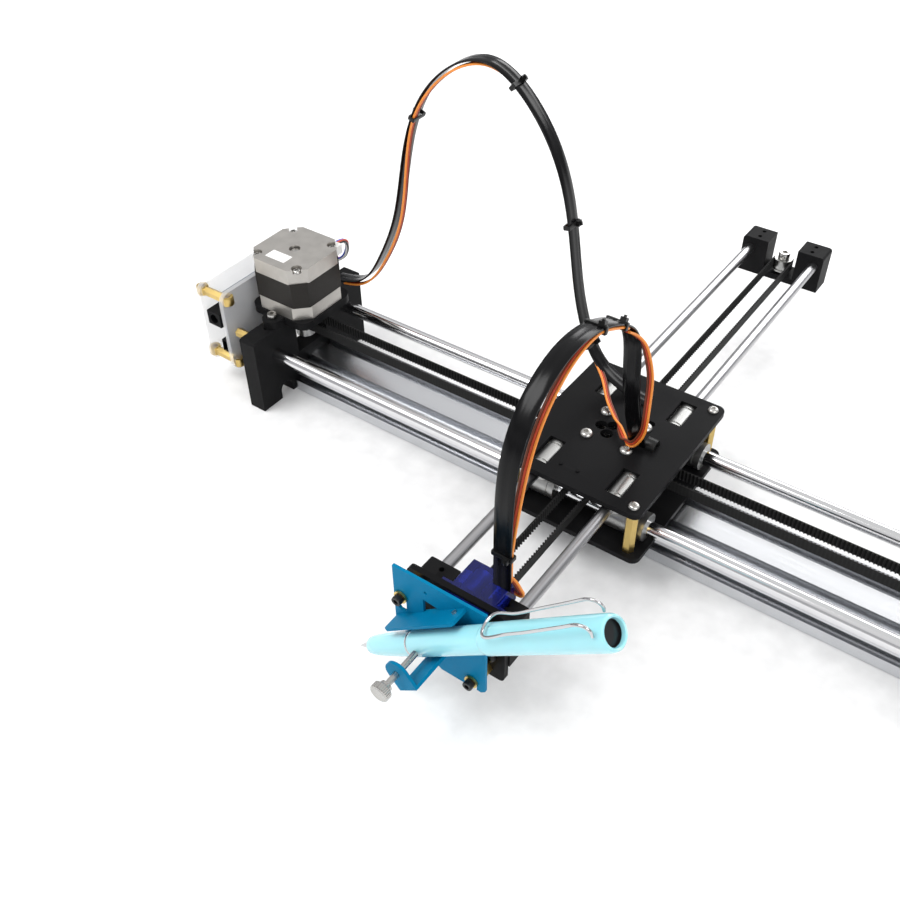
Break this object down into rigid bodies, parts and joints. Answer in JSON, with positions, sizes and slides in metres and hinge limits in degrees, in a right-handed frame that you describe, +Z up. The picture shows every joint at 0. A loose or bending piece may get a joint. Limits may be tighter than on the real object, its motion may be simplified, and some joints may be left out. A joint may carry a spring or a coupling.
{
  "type": "pen plotter",
  "caption": "Desktop pen plotter: sliding carriage on a two-rail beam, sliding arm across it, belt drive by two stepper motors, servo-lifted clamp holding a pen.",
  "frame": {"origin": "middle of the extrusion's underside, on the surface that the plotter stands on, below the carriage's centre", "axes": "+X along the beam, away from the controller; +Y to the arm's rear end, away from the pen; +Z up"},
  "size_m": [0.5028, 0.4215, 0.2155],
  "materials": {
    "black_powder_coat": "matt black anodised",
    "polished_rod": "ground and polished",
    "extrusion": "clear anodised",
    "moulded_black": "satin moulded",
    "steel_screw": "bright zinc",
    "black_screw": "black oxide",
    "motor_metal": "bead blasted casting",
    "stator_steel": "dark laminations",
    "clear_acrylic": "clear",
    "circuit_board": "solder mask",
    "brass": "machined",
    "belt_rubber": "ribbed rubber",
    "bearing_steel": "ground",
    "servo_blue": "translucent blue",
    "white_plastic": "moulded",
    "blue_anodised": "blue anodised",
    "pen_blue": "glossy light blue",
    "pen_steel": "polished",
    "strip_black": "glossy",
    "lead_orange": "flexible insulation",
    "tie_black": "nylon",
    "heatsink": "finned"
  },
  "bodies": {
    "frame": {"x_rod_front": "polished_rod", "x_rod_rear": "polished_rod", "x_extrusion": "extrusion", "end_block_left": "moulded_black", "end_block_right": "moulded_black", "frame_screws": "steel_screw", "motor_plate_left": "black_powder_coat", "motor_plate_right": "black_powder_coat", "motor_flanges": "motor_metal", "motor_stators": "stator_steel", "motor_caps": "motor_metal", "motor_case_screws": "steel_screw", "motor_lead": "white_plastic", "acrylic_inner": "clear_acrylic", "acrylic_outer": "clear_acrylic", "controller_board": "circuit_board", "board_sockets": "moulded_black", "driver_heatsinks": "heatsink", "controller_standoffs": "brass", "rear_strip": "strip_black"},
    "carriage": {"top_plate": "black_powder_coat", "bottom_plate": "black_powder_coat", "carriage_standoffs": "brass", "carriage_screws": "steel_screw", "x_bearings": "bearing_steel", "y_bearings": "bearing_steel", "idler_bolts": "steel_screw", "limit_switch": "moulded_black", "front_strip": "strip_black", "servo_lead": "lead_orange", "lead_ties": "tie_black", "drive_belt": "belt_rubber"},
    "arm": {"y_rod_left": "polished_rod", "y_rod_right": "polished_rod", "arm_block_rear": "moulded_black", "arm_block_front": "moulded_black", "rear_idler_bolt": "steel_screw", "belt_clamp": "moulded_black", "head_plate": "black_powder_coat", "servo_case": "servo_blue", "guide_bushes": "brass", "head_screws": "black_screw"},
    "pen_head": {"pen_bracket": "blue_anodised", "lift_pin": "steel_screw"},
    "clamp_screw": {"thumb_screw": "steel_screw"},
    "pen": {"pen_nib": "pen_steel", "pen_grip": "pen_blue", "pen_barrel": "pen_blue", "pen_cap": "pen_blue", "pen_clip": "pen_steel"},
    "servo_output": {"servo_horn": "white_plastic"},
    "drive_left": {"pulley_left": "bearing_steel", "motor_rotor_left": "steel_screw"},
    "drive_right": {"pulley_right": "bearing_steel", "motor_rotor_right": "steel_screw"},
    "idler_fl": {"idler_front_left": "bearing_steel"},
    "idler_fr": {"idler_front_right": "bearing_steel"},
    "idler_rl": {"idler_rear_left": "bearing_steel"},
    "idler_rr": {"idler_rear_right": "bearing_steel"},
    "idler_back": {"rear_idler": "bearing_steel"}
  },
  "joints": [
    {"name": "x_slide", "type": "slide", "parent": "frame", "child": "carriage", "axis": [1, 0, 0], "range_m": [-0.15, 0.15], "deforming": ["drive_belt", "rear_strip", "front_strip", "servo_lead", "lead_ties"]},
    {"name": "y_slide", "type": "slide", "parent": "carriage", "child": "arm", "axis": [0, 1, 0], "range_m": [-0.16, 0.06]},
    {"name": "pen_lift", "type": "slide", "parent": "arm", "child": "pen_head", "axis": [0, 0, 1], "range_m": [0, 0.006]},
    {"name": "horn_turn", "type": "hinge", "parent": "arm", "child": "servo_output", "pos_m": [0.0113, -0.1475, 0.0582], "axis": [0, 1, 0], "range_deg": [0, 27]},
    {"name": "clamp_travel", "type": "slide", "parent": "pen_head", "child": "clamp_screw", "axis": [0, -1, 0], "range_m": [0, 0.008]},
    {"name": "pen_slide", "type": "slide", "parent": "pen_head", "child": "pen", "axis": [0.7705, 0, 0.6374], "range_m": [-0.006, 0.02]},
    {"name": "left_drive_turn", "type": "hinge", "parent": "frame", "child": "drive_left", "pos_m": [-0.217, 0, 0.04], "axis": [0, 0, 1], "range_deg": [-1800, 1800]},
    {"name": "right_drive_turn", "type": "hinge", "parent": "frame", "child": "drive_right", "pos_m": [0.217, 0, 0.04], "axis": [0, 0, 1], "range_deg": [-1800, 1800]},
    {"name": "front_left_idler_turn", "type": "hinge", "parent": "carriage", "child": "idler_fl", "pos_m": [-0.01142, -0.01051, 0.04], "axis": [0, 0, 1], "range_deg": [-1900, 1900]},
    {"name": "front_right_idler_turn", "type": "hinge", "parent": "carriage", "child": "idler_fr", "pos_m": [0.01142, -0.01051, 0.04], "axis": [0, 0, 1], "range_deg": [-1900, 1900]},
    {"name": "rear_left_idler_turn", "type": "hinge", "parent": "carriage", "child": "idler_rl", "pos_m": [-0.01142, 0.01051, 0.04], "axis": [0, 0, 1], "range_deg": [-3500, 3500]},
    {"name": "rear_right_idler_turn", "type": "hinge", "parent": "carriage", "child": "idler_rr", "pos_m": [0.01142, 0.01051, 0.04], "axis": [0, 0, 1], "range_deg": [-3500, 3500]},
    {"name": "back_idler_turn", "type": "hinge", "parent": "arm", "child": "idler_back", "pos_m": [0, 0.223, 0.04], "axis": [0, 0, 1], "range_deg": [-3500, 3500]}
  ],
  "couplings": [
    {"joint": "horn_turn", "follows": "pen_lift", "rad_per_m": 76.794},
    {"joint": "left_drive_turn", "follows": "x_slide", "rad_per_m": 196.35},
    {"joint": "right_drive_turn", "follows": "x_slide", "rad_per_m": 196.35},
    {"joint": "front_left_idler_turn", "follows": "y_slide", "rad_per_m": 200},
    {"joint": "front_right_idler_turn", "follows": "y_slide", "rad_per_m": -200},
    {"joint": "rear_left_idler_turn", "follows": "x_slide", "rad_per_m": -400},
    {"joint": "rear_right_idler_turn", "follows": "x_slide", "rad_per_m": -400},
    {"joint": "back_idler_turn", "follows": "x_slide", "rad_per_m": 350}
  ]
}
